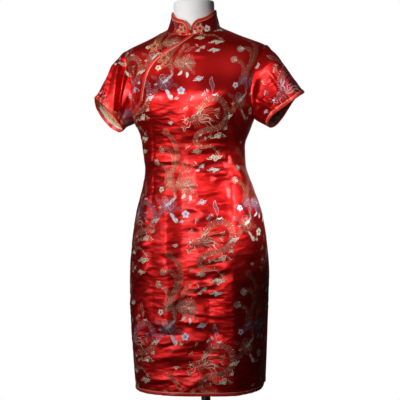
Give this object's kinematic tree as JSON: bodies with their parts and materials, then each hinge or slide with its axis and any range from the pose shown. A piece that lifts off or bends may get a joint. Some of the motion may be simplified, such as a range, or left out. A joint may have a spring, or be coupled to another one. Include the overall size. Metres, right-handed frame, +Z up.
{
  "type": "cheongsam dress on a limbless dress form with stand",
  "caption": "Fitted knee-length cheongsam with cap sleeves, a stand collar and a slanted front opening, on a limbless dress form with a round stand.",
  "frame": {"origin": "middle of the underside of the stand's round base, on the floor", "axes": "+Z up along the pole, -Y the way the wearer faces, +X the wearer's left"},
  "size_m": [0.5615, 0.32, 1.484],
  "materials": {
    "brocade": "red satin brocade with woven coloured figures",
    "satin_tape": "red satin binding with a gold edge cord",
    "satin_cord": "red satin cord, coiled and knotted",
    "form_skin": "smooth matt white",
    "stand_black": "black powder coat"
  },
  "bodies": {
    "root": {"front_panel": "brocade", "front_yoke": "brocade", "back_panel": "brocade", "sleeve_right": "brocade", "sleeve_left": "brocade", "collar": "brocade", "collar_binding": "satin_tape", "slant_binding": "satin_tape", "cuff_binding_right": "satin_tape", "cuff_binding_left": "satin_tape", "hem_binding_front": "satin_tape", "hem_binding_back": "satin_tape", "collar_frog_flower_right": "satin_cord", "collar_frog_flower_left": "satin_cord", "collar_frog_knot": "satin_cord", "chest_frog_flower_upper": "satin_cord", "chest_frog_flower_lower": "satin_cord", "chest_frog_knot": "satin_cord", "form_torso": "form_skin", "form_flange": "stand_black", "stand_pole": "stand_black", "stand_hub": "stand_black", "stand_base": "stand_black"}
  },
  "joints": []
}
